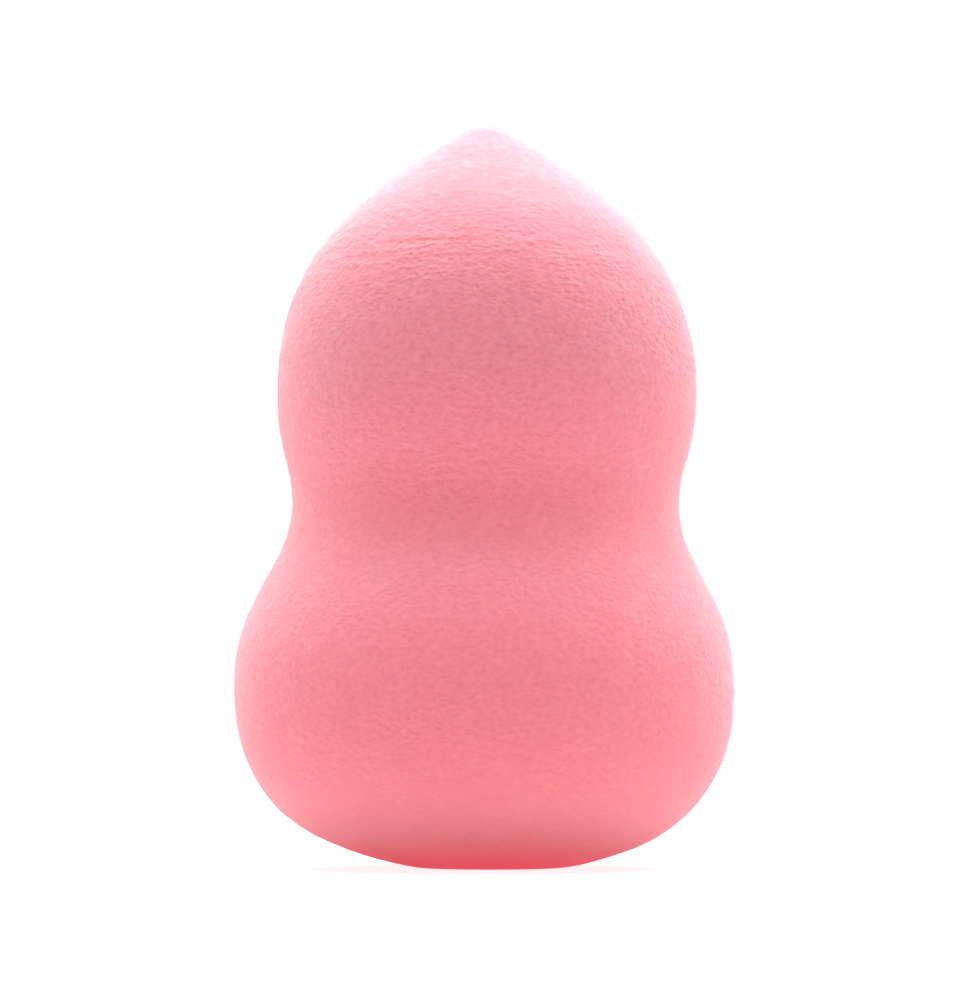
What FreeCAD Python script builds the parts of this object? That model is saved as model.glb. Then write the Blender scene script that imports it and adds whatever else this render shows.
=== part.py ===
"""Gourd-shaped makeup sponge: one body of soft open-cell foam, ground to a round, double-lobed form.

The pointed upper lobe does the fine work, fingers hold the waist, and the wide lower lobe covers large
areas and stands the sponge on a small flat foot. The foam is one piece, so the part is one solid.

Lengths are in millimetres and angles in degrees. +Z is up, and the origin is the middle of the foot.
"""

import FreeCAD, Part
import math
import os

# Heights, each measured from the level below it
lower_lobe_height = 14.2  # foot to the lower lobe's widest place
waist_rise = 15.1  # lower lobe's widest place to the waist
upper_lobe_rise = 9.0  # waist to the upper lobe's widest place
tip_rise = 21.7  # upper lobe's widest place to the tip

# Diameters
foot_diameter = 10.2  # the flat that the sponge stands on
lower_lobe_diameter = 40.2
waist_diameter = 31.2
upper_lobe_diameter = 33.9

# Radii of the side's own curve where it stands upright
lower_lobe_curve = 21.0
waist_curve = 8.9
upper_lobe_curve = 26.0

# Rounded edge of the foot, and the underside that rises from it
foot_edge_radius = 8.0
underside_slope = 10.5
underside_reach = 8.5  # how far the underside heads along its slope before it turns up

# Rounded tip, and the flank that falls away from it
tip_radius = 3.5
tip_slope = 31.5
flank_reach = 8.5  # how far the flank heads along its slope before it turns down

QUARTER_TURN = 90
FULL_TURN = 360
UP = FreeCAD.Vector(0, 0, 1)


def place(radius, height):
    """Point of the half outline, which lies in the XZ plane."""
    return FreeCAD.Vector(radius, 0, height)


def heading(angle):
    """Unit vector in that plane: 0 points away from the axis, a quarter turn points up."""
    return place(math.cos(math.radians(angle)), math.sin(math.radians(angle)))


def arc(centre, radius, start, end):
    """Circular edge round centre, from one heading to another."""
    headings = (start, (start + end) / 2, end)
    return Part.Arc(*(centre + heading(angle) * radius for angle in headings)).toShape()


def cubic(*poles):
    """Cubic Bezier edge on four poles."""
    curve = Part.BezierCurve()
    curve.setPoles(list(poles))
    return curve.toShape()


def handle(swing, curve):
    """Length of a cubic's upright end handle that gives its side the radius curve there.

    The swing is how far the other handle's end lies sideways from this end.
    """
    return math.sqrt(2 / 3 * abs(swing) * curve)


def side(start, end, start_curve, end_curve):
    """Edge that leaves start and reaches end upright, with those radii of curvature."""
    swing = end.x - start.x
    return cubic(
        start,
        start + UP * handle(swing, start_curve),
        end - UP * handle(swing, end_curve),
        end,
    )


def half_outline():
    """Closed wire from the foot up the side to the tip and back down the axis.

    Neighbouring edges share their tangent, and at both lobes and the waist their curvature too.
    """
    foot_centre = place(0, 0)
    foot_rim = place(foot_diameter / 2, 0)
    lower_lobe = place(lower_lobe_diameter / 2, lower_lobe_height)
    waist = place(waist_diameter / 2, lower_lobe.z + waist_rise)
    upper_lobe = place(upper_lobe_diameter / 2, waist.z + upper_lobe_rise)
    tip = place(0, upper_lobe.z + tip_rise)

    foot_edge_centre = foot_rim + UP * foot_edge_radius
    underside = foot_edge_centre + heading(underside_slope - QUARTER_TURN) * foot_edge_radius
    underside_pole = underside + heading(underside_slope) * underside_reach
    lower_lobe_pole = lower_lobe - UP * handle(lower_lobe.x - underside_pole.x, lower_lobe_curve)

    tip_centre = tip - UP * tip_radius
    shoulder = tip_centre + heading(QUARTER_TURN - tip_slope) * tip_radius
    shoulder_pole = shoulder + heading(-tip_slope) * flank_reach
    upper_lobe_pole = upper_lobe + UP * handle(upper_lobe.x - shoulder_pole.x, upper_lobe_curve)

    return Part.Wire(
        [
            Part.LineSegment(foot_centre, foot_rim).toShape(),
            arc(foot_edge_centre, foot_edge_radius, -QUARTER_TURN, underside_slope - QUARTER_TURN),
            cubic(underside, underside_pole, lower_lobe_pole, lower_lobe),
            side(lower_lobe, waist, lower_lobe_curve, waist_curve),
            side(waist, upper_lobe, waist_curve, upper_lobe_curve),
            cubic(upper_lobe, upper_lobe_pole, shoulder_pole, shoulder),
            arc(tip_centre, tip_radius, QUARTER_TURN - tip_slope, QUARTER_TURN),
            Part.LineSegment(tip, foot_centre).toShape(),
        ]
    )


def foam_body():
    """The whole sponge: the half outline turned about its axis."""
    return Part.Face(half_outline()).revolve(place(0, 0), UP, FULL_TURN)


def main():
    os.makedirs("parts", exist_ok=True)
    body = foam_body()
    body.exportStep("parts/foam_body.step")
    box = body.BoundBox
    print(f"foam_body: {box.XLength:.2f} x {box.YLength:.2f} x {box.ZLength:.2f} mm")
    print(f"volume {body.Volume / 1000:.2f} ml, valid {body.isValid()}, solids {len(body.Solids)}")


main()
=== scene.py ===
"""Looks of the gourd-shaped makeup sponge: ground open-cell foam on a pale floor under a wide soft window.

Lengths are in metres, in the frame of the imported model: +Z up, origin at the middle of the foot.
The foam's relief is worked out in millimetres, which suit its sizes.
"""

import math

import bpy
import numpy as np
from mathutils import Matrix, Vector, noise


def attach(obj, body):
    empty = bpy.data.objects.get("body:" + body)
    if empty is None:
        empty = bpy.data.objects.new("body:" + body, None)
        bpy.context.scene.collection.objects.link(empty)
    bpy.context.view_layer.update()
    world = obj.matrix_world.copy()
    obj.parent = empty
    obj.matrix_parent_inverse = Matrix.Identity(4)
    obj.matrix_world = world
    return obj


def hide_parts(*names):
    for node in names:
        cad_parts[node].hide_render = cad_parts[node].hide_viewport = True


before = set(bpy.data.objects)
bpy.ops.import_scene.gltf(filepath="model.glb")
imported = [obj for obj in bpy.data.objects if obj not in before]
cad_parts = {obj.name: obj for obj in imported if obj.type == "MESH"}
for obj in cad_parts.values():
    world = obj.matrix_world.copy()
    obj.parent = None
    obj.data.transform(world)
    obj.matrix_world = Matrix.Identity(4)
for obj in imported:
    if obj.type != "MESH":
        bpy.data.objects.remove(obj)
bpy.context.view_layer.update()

MM = 0.001
FOAM_NODE = "foam_body"
WHITE = (1, 1, 1, 1)

# Grid of the foam's mesh: rings are closer than segments, because the grinding marks lie along them
RINGS = 514
SEGMENTS = 192
BACK = math.pi / 2  # heading of the texture map's seam, away from the camera
SAME_HEADING = 4  # decimals to which headings agree along the CAD mesh's seam
SAME_PLACE = 7  # decimals to which places agree where that mesh repeats a vertex

# Relief of the ground surface, in millimetres: size and depth of its lumps, its dimples and its grain
RELIEF = ((7.0, 0.1), (2.2, 0.04), (0.8, 0.03))
RELIEF_START = 0.8  # height over the foot at which the relief has its full depth

# Marks that grinding left round the sponge, in millimetres
MARK_LENGTH = 3.6
MARK_WIDTH = 0.5
MARK_DEPTH = 0.08
WOBBLE_SIZE = 3.0
WOBBLE = 0.3  # how far a mark strays up and down
MARK_BANDS = (  # height of a band's middle, its half width, and its share of the full depth
    (48.4, 1.5, 0.8),
    (40.5, 1.4, 1.0),
    (30.3, 1.4, 1.0),
    (14.0, 1.5, 0.7),
    (9.0, 1.5, 0.3),
)

# The form leans a little at some heights, in millimetres: the height, the shift to +X, and its spread
LEANS = ((37.0, 0.16, 8.0), (17.0, -0.1, 8.0), (0.8, 0.5, 1.8))

# Ramps: where a measure starts and ends to count, and the values that it gives there
FINE_BASE = (3 * MM, 14 * MM, 0.4, 1)  # share of the grain that is left, by height
FINE_LOWER = (30 * MM, 42 * MM, 0.7, 1)
FINE_TIP = (47 * MM, 56 * MM, 1, 0.15)
PAINTED_BOUNCE_RAMP = (22 * MM, 44 * MM, 1, 0)  # how much painted warm bounce light the colour has, by height
PAINTED_HOLLOW_BOUNCE_RAMP = (0, 7 * MM, 1, 0)  # how much painted bounce light the waist's hollow has, by distance from the hollow's height
PAINTED_TOP_LIGHT_RAMP = (44 * MM, 58 * MM, 0, 1)  # how much painted top light pales the colour, by height
ROUGH_RAMP = (0.35, 0.65, 0.4, 1)  # depth of the grain in the smooth and the rough patches
UNDER_RAMP = (8 * MM, 21 * MM, 0, 1)  # how clear the floor is of the sponge, by distance from the axis

# Grain of the foam
CELL_RATE = 1800  # cells along a metre
CELL_FLATNESS = 1.6  # how much wider than tall a cell is
CELL_SHARE = 0.3  # how much of the grain is round cells; the rest is rough cloud
CLOUD = {"Scale": CELL_RATE, "Detail": 3, "Roughness": 0.68}
PATCHES = {"Scale": 300, "Detail": 2, "Roughness": 0.5}
PATCH_SHARE = 0.2  # how much of the colour's changes are the patches
PORE_DEPTH = 0.4 * MM

# Colour and finish of the foam
FOAM_COLOUR = (0.71, 0.28, 0.335, 1)
# Pores are darker: partly the foam's own uneven tone, partly painted shade in the pores
PORE_TONE_AND_SHADE_COLOUR = (0.595, 0.178, 0.223, 1)
COLOUR_RANGE = (0.3, 0.7)  # grain heights that have the pore's and the foam's full colour
HALF_WAY = 0.5  # where the grain is finest, the colour stays between the two
PAINTED_BOUNCE_TINT = (1.12, 1, 1, 1)  # what the colour is multiplied by near the base: painted warm bounce light from below
PAINTED_HOLLOW_BOUNCE = (1.06, 0.99, 0.97, 1)  # and in the hollow of the waist: painted red bounce light in the crease
PAINTED_TOP_LIGHT = (1.0, 1.05, 1.04, 1)  # and at the tip: painted top light, where the window overhead falls strongest
HOLLOW_HEIGHT = 27.5 * MM
PORE_ROUGHNESS = 1.0
CREST_ROUGHNESS = 0.8
GLOSS = 0.2  # specular level
SHEEN = 0.3  # pale fuzz at glancing angles
SHEEN_ROUGHNESS = 0.63
SCATTER = 0.65  # share of the light that enters the foam and spreads in it, red the farthest
SCATTER_RADIUS = (1.0, 0.01, 0.013)
SCATTER_SCALE = 12 * MM

# Light: a wide soft window overhead that reaches back behind the sponge
WINDOW_LIGHT = 9.9
WINDOW_LEAN = math.radians(14.6)  # back from straight up
WINDOW_SIDE = math.radians(2)  # to the right
WINDOW_CORE = math.radians(5)
WINDOW_EDGE = math.radians(47)
BACKDROP_LIGHT = 1.0  # what the camera sees behind the floor is plain white

# Floor, with a little glow
FLOOR_COLOUR = (0.59, 0.53, 0.53, 1)
FLOOR_ROUGHNESS = 1.0
FLOOR_GLOSS = 0.0
FLOOR_GLOW = 0.51
GLOW_COLOUR = (1.0, 0.785, 0.785, 1)
UNDER_COLOUR = (1.2, 0.3, 0.37, 1)  # of light that has come through the foam, under the sponge
SHOWN_GLOW = 0.85  # what the camera sees is brighter and white, with a fainter shadow
FLOOR_SIZE = 8.0
FLOOR_GAP = 0.02 * MM

# Camera: where the photograph was taken from
SENSOR = 36.0
CAMERA_DISTANCE = 0.2805
EYE_HEIGHT = 0.009
AIM = Vector((-0.0001, 0, 0.0296))
FIELD_HEIGHT = 0.0807  # what the picture's height takes in at the sponge's axis


def fill(tree, node, inputs):
    """Set the node's inputs. A value is a plain one, or a socket to link the input to."""
    for name, value in inputs.items():
        if isinstance(value, bpy.types.NodeSocket):
            tree.links.new(value, node.inputs[name])
        else:
            node.inputs[name].default_value = value


def add(tree, kind, inputs=None, **settings):
    """New shader node of that kind, with those settings and inputs."""
    node = tree.nodes.new("ShaderNode" + kind)
    for name, value in settings.items():
        setattr(node, name, value)
    fill(tree, node, inputs or {})
    return node


def ramp(tree, value, start, end, low, high):
    """Socket that goes smoothly from low to high while the value goes from start to end."""
    inputs = {"Value": value, "From Min": start, "From Max": end, "To Min": low, "To Max": high}
    return add(tree, "MapRange", inputs, interpolation_type="SMOOTHSTEP").outputs["Result"]


def calculate(tree, operation, *values):
    """Socket with the result of that operation on values or sockets."""
    return add(tree, "Math", dict(enumerate(values)), operation=operation).outputs[0]


def between(tree, share, a, b):
    """Socket that share of the way from value a to value b."""
    return add(tree, "Mix", {"Factor": share, "A": a, "B": b}).outputs["Result"]


def blend(tree, share, a, b, kind="MIX"):
    """Socket with colour a changed by that share of colour b."""
    inputs = {"Factor": share, "A": a, "B": b}
    return add(tree, "Mix", inputs, data_type="RGBA", blend_type=kind).outputs["Result"]


def plainly_seen(tree):
    """Socket that is 1 for the camera and what it sees in gloss or glass, and 0 for light on the object."""
    path = add(tree, "LightPath").outputs
    seen = calculate(tree, "MAXIMUM", path["Is Camera Ray"], path["Is Glossy Ray"])
    return calculate(tree, "MAXIMUM", seen, path["Is Transmission Ray"])


def new_material(name):
    """Material of that name, with its node tree and its shader."""
    material = bpy.data.materials.new(name)
    material.use_nodes = True
    return material, material.node_tree, material.node_tree.nodes["Principled BSDF"]


def seam_outline():
    """Half outline of the CAD solid as (radius, height) rows, from the middle of the foot to the tip.

    The solid is turned, so its mesh has a row of vertices along a seam, and more share that heading than
    any other.
    """
    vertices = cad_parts[FOAM_NODE].data.vertices
    places = np.empty(len(vertices) * 3)
    vertices.foreach_get("co", places)
    x, y, z = places.reshape(-1, 3).T
    headings = np.round(np.arctan2(y, x), SAME_HEADING)
    values, counts = np.unique(headings, return_counts=True)
    on_seam = headings == values[counts.argmax()]
    rows = np.column_stack([z, np.hypot(x, y)])[on_seam]
    rows = np.vstack([rows, [z.max(), 0]])
    rows = np.unique(np.round(rows, SAME_PLACE), axis=0)
    return np.vstack([[0, 0], rows[:, ::-1]])


def even_outline(outline, count):
    """The outline as count + 1 rows, evenly spaced along a smooth line that is level at both ends."""
    steps = np.hypot(*np.diff(outline, axis=0).T)
    reach = np.concatenate([[0], np.cumsum(steps)])
    slope = np.gradient(outline, reach, axis=0)
    slope[0] = (1, 0)
    slope[-1] = (-1, 0)
    wanted = np.linspace(0, reach[-1], count + 1)
    i = np.clip(np.searchsorted(reach, wanted, side="right") - 1, 0, len(steps) - 1)
    step = steps[i][:, None]
    t = (wanted - reach[i])[:, None] / step

    # Cubic between neighbouring rows that keeps their slopes
    rows = (2 * t**3 - 3 * t**2 + 1) * outline[i] + (3 * t**2 - 2 * t**3) * outline[i + 1]
    rows += ((t**3 - 2 * t**2 + t) * slope[i] + (t**3 - t**2) * slope[i + 1]) * step
    return np.maximum(rows, 0)


def bell(distance, spread):
    """Smooth hump: 1 in the middle, and near 0 at twice the spread."""
    return math.exp(-((distance / spread) ** 2))


def relief(place):
    """How far the ground surface stands off the turned form at that place, all in millimetres."""
    x, y, z = place
    bumps = sum(depth * noise.noise(place / size) for size, depth in RELIEF)
    level = z + WOBBLE * noise.noise(place / WOBBLE_SIZE)
    marks = MARK_DEPTH * noise.noise((x / MARK_LENGTH, y / MARK_LENGTH, level / MARK_WIDTH))
    band = sum(share * bell(z - height, half) for height, half, share in MARK_BANDS)
    return bumps + marks * band


def foam_place(radius, height, normal, heading):
    """Point of the foam's surface: the turned form with its lean and its relief, in metres."""
    across = Vector((math.cos(heading), math.sin(heading), 0))
    upright = Vector((0, 0, 1))
    place = (across * radius + upright * height) / MM
    fade = min(place.z / RELIEF_START, 1)
    lean = sum(shift * bell(place.z - middle, spread) for middle, shift, spread in LEANS)
    place += (across * normal[0] + upright * normal[1]) * relief(place) * fade
    place.x += lean
    return place * MM


def foam_vertices():
    """The middle of the foot, rings of vertices up to the tip, and the tip."""
    outline = even_outline(seam_outline(), RINGS)
    along = np.gradient(outline, axis=0)
    normals = np.column_stack([along[:, 1], -along[:, 0]]) / np.hypot(*along.T)[:, None]
    headings = BACK + np.arange(SEGMENTS) * math.tau / SEGMENTS
    vertices = [foam_place(0, 0, (0, -1), 0)]
    for (radius, height), normal in zip(outline[1:-1], normals[1:-1]):
        vertices += [foam_place(radius, height, normal, heading) for heading in headings]
    return vertices + [foam_place(0, outline[-1][1], (0, 1), 0)]


def foam_faces(last):
    """Faces between the rings, with a fan at each end, and their corners on the texture map.

    The number of the vertex at the tip is last.
    """
    faces = []
    corners = []
    for ring in range(RINGS):
        low = 1 + (ring - 1) * SEGMENTS
        high = low + SEGMENTS
        v0, v1 = ring / RINGS, (ring + 1) / RINGS
        for segment in range(SEGMENTS):
            turn = (segment + 1) % SEGMENTS
            u0, u1 = segment / SEGMENTS, (segment + 1) / SEGMENTS
            middle = (u0 + u1) / 2
            if ring == 0:
                faces.append((0, high + turn, high + segment))
                corners += [(middle, v0), (u1, v1), (u0, v1)]
            elif ring == RINGS - 1:
                faces.append((low + segment, low + turn, last))
                corners += [(u0, v0), (u1, v0), (middle, v1)]
            else:
                faces.append((low + segment, low + turn, high + turn, high + segment))
                corners += [(u0, v0), (u1, v0), (u1, v1), (u0, v1)]
    return faces, corners


def foam_mesh():
    """Closed mesh of the sponge, with its texture map."""
    vertices = foam_vertices()
    faces, corners = foam_faces(len(vertices) - 1)
    mesh = bpy.data.meshes.new("sponge_foam")
    mesh.from_pydata(vertices, [], faces)
    layer = mesh.uv_layers.new(name="OFBake")
    layer.data.foreach_set("uv", np.ravel(corners))
    mesh.shade_smooth()
    return mesh


def foam_grain(tree, place):
    """Socket with the height of the grain: rough cloud with some round cells in it."""
    flat = add(tree, "VectorMath", {0: place, 1: (1, 1, CELL_FLATNESS)}, operation="MULTIPLY").outputs[0]
    cloud = add(tree, "TexNoise", {"Vector": flat, **CLOUD})
    cells = add(tree, "TexVoronoi", {"Vector": flat, "Scale": CELL_RATE})
    return between(tree, CELL_SHARE, cloud.outputs["Fac"], cells.outputs["Distance"])


def foam_colour(tree, level, grain, patches, share):
    """Socket with the colour: deeper in pores, partly by the foam's uneven tone and partly as painted
    shade; painted warm bounce light near the base and in the hollow of the waist; and a painted top light
    that pales the tip.
    """
    mixed = between(tree, PATCH_SHARE, grain, patches)
    inputs = {"Value": mixed, "From Min": COLOUR_RANGE[0], "From Max": COLOUR_RANGE[1]}
    crest = add(tree, "MapRange", inputs).outputs["Result"]
    crest = between(tree, share, HALF_WAY, crest)
    colour = blend(tree, crest, PORE_TONE_AND_SHADE_COLOUR, FOAM_COLOUR)
    # Painted warm bounce light, stronger towards the base
    painted_bounce = ramp(tree, level, *PAINTED_BOUNCE_RAMP)
    colour = blend(tree, painted_bounce, colour, PAINTED_BOUNCE_TINT, "MULTIPLY")
    # Painted top light, paler towards the tip
    top_light = ramp(tree, level, *PAINTED_TOP_LIGHT_RAMP)
    colour = blend(tree, top_light, colour, PAINTED_TOP_LIGHT, "MULTIPLY")
    # Painted red bounce light in the hollow of the waist
    offset = calculate(tree, "ABSOLUTE", calculate(tree, "SUBTRACT", level, HOLLOW_HEIGHT))
    hollow_bounce = ramp(tree, offset, *PAINTED_HOLLOW_BOUNCE_RAMP)
    return blend(tree, hollow_bounce, colour, PAINTED_HOLLOW_BOUNCE, "MULTIPLY")


def foam_material():
    """Pink polyurethane foam: matte, with fine open pores and pale fuzz at glancing angles."""
    material, tree, shader = new_material("pink_foam")
    place = add(tree, "TexCoord").outputs["Object"]
    level = add(tree, "SeparateXYZ", {"Vector": place}).outputs["Z"]
    grain = foam_grain(tree, place)
    patches = add(tree, "TexNoise", {"Vector": place, **PATCHES}).outputs["Fac"]

    # The grain is fullest on the upper lobe, finer below it and finest at the base and the tip
    share = calculate(tree, "MULTIPLY", ramp(tree, level, *FINE_LOWER), ramp(tree, level, *FINE_BASE))
    depth = calculate(tree, "MULTIPLY", share, ramp(tree, level, *FINE_TIP))
    depth = calculate(tree, "MULTIPLY", depth, ramp(tree, patches, *ROUGH_RAMP))
    bump = add(tree, "Bump", {"Height": grain, "Strength": depth, "Distance": PORE_DEPTH})
    matte = {"Value": grain, "To Min": PORE_ROUGHNESS, "To Max": CREST_ROUGHNESS}

    finish = {
        "Base Color": foam_colour(tree, level, grain, patches, share),
        "Roughness": add(tree, "MapRange", matte).outputs["Result"],
        "Normal": bump.outputs["Normal"],
        "Specular IOR Level": GLOSS,
        "Subsurface Weight": SCATTER,
        "Subsurface Radius": SCATTER_RADIUS,
        "Subsurface Scale": SCATTER_SCALE,
        "Sheen Weight": SHEEN,
        "Sheen Roughness": SHEEN_ROUGHNESS,
        "Sheen Tint": WHITE,
    }
    fill(tree, shader, finish)
    return material


def make_sponge():
    """The sponge, standing for the CAD solid."""
    sponge = bpy.data.objects.new("sponge_foam", foam_mesh())
    sponge.data.materials.append(foam_material())
    bpy.context.collection.objects.link(sponge)
    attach(sponge, "root")
    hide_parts(FOAM_NODE)


def floor_material():
    """Pale and matte, with a glow that is red under the sponge, where light has come through the foam."""
    material, tree, shader = new_material("pale_floor")
    place = add(tree, "TexCoord").outputs["Object"]
    reach = add(tree, "VectorMath", {0: place}, operation="LENGTH").outputs["Value"]
    glow = blend(tree, ramp(tree, reach, *UNDER_RAMP), UNDER_COLOUR, GLOW_COLOUR)
    seen = plainly_seen(tree)
    finish = {
        "Base Color": FLOOR_COLOUR,
        "Roughness": FLOOR_ROUGHNESS,
        "Specular IOR Level": FLOOR_GLOSS,
        "Emission Color": blend(tree, seen, glow, WHITE),
        "Emission Strength": between(tree, seen, FLOOR_GLOW, SHOWN_GLOW),
    }
    fill(tree, shader, finish)
    return material


def make_floor():
    """Wide flat floor just under the foot."""
    half = FLOOR_SIZE / 2
    corners = [(-half, -half, 0), (half, -half, 0), (half, half, 0), (-half, half, 0)]
    mesh = bpy.data.meshes.new("floor")
    mesh.from_pydata(corners, [], [(0, 1, 2, 3)])
    mesh.materials.append(floor_material())
    floor = bpy.data.objects.new("floor", mesh)
    floor.location.z = -FLOOR_GAP
    bpy.context.collection.objects.link(floor)


def make_light():
    """World with a soft window overhead for light, which the camera sees as plain white."""
    world = bpy.data.worlds.new("window")
    world.use_nodes = True
    bpy.context.scene.world = world
    tree = world.node_tree
    tree.nodes.clear()

    direction = add(tree, "TexCoord").outputs["Generated"]
    heading = Vector((math.tan(WINDOW_SIDE), math.tan(WINDOW_LEAN), 1)).normalized()
    towards = add(tree, "VectorMath", {0: direction, 1: heading}, operation="DOT_PRODUCT").outputs["Value"]
    window = ramp(tree, towards, math.cos(WINDOW_EDGE), math.cos(WINDOW_CORE), 0, WINDOW_LIGHT)
    light = add(tree, "Background", {"Color": WHITE, "Strength": window})
    plain = add(tree, "Background", {"Color": WHITE, "Strength": BACKDROP_LIGHT})
    shown = add(tree, "MixShader", {0: plainly_seen(tree), 1: light.outputs[0], 2: plain.outputs[0]})
    add(tree, "OutputWorld", {"Surface": shown.outputs[0]})


def make_camera():
    """Long lens from just above the floor, looking a little up at the middle of the sponge."""
    data = bpy.data.cameras.new("camera")
    data.sensor_width = SENSOR
    data.lens = SENSOR * CAMERA_DISTANCE / FIELD_HEIGHT
    camera = bpy.data.objects.new("camera", data)
    camera.location = (AIM.x, -CAMERA_DISTANCE, EYE_HEIGHT)
    camera.rotation_euler = (AIM - camera.location).to_track_quat("-Z", "Y").to_euler()
    bpy.context.collection.objects.link(camera)
    bpy.context.scene.camera = camera


make_sponge()
make_floor()
make_light()
make_camera()
bpy.context.scene.view_settings.view_transform = "Standard"
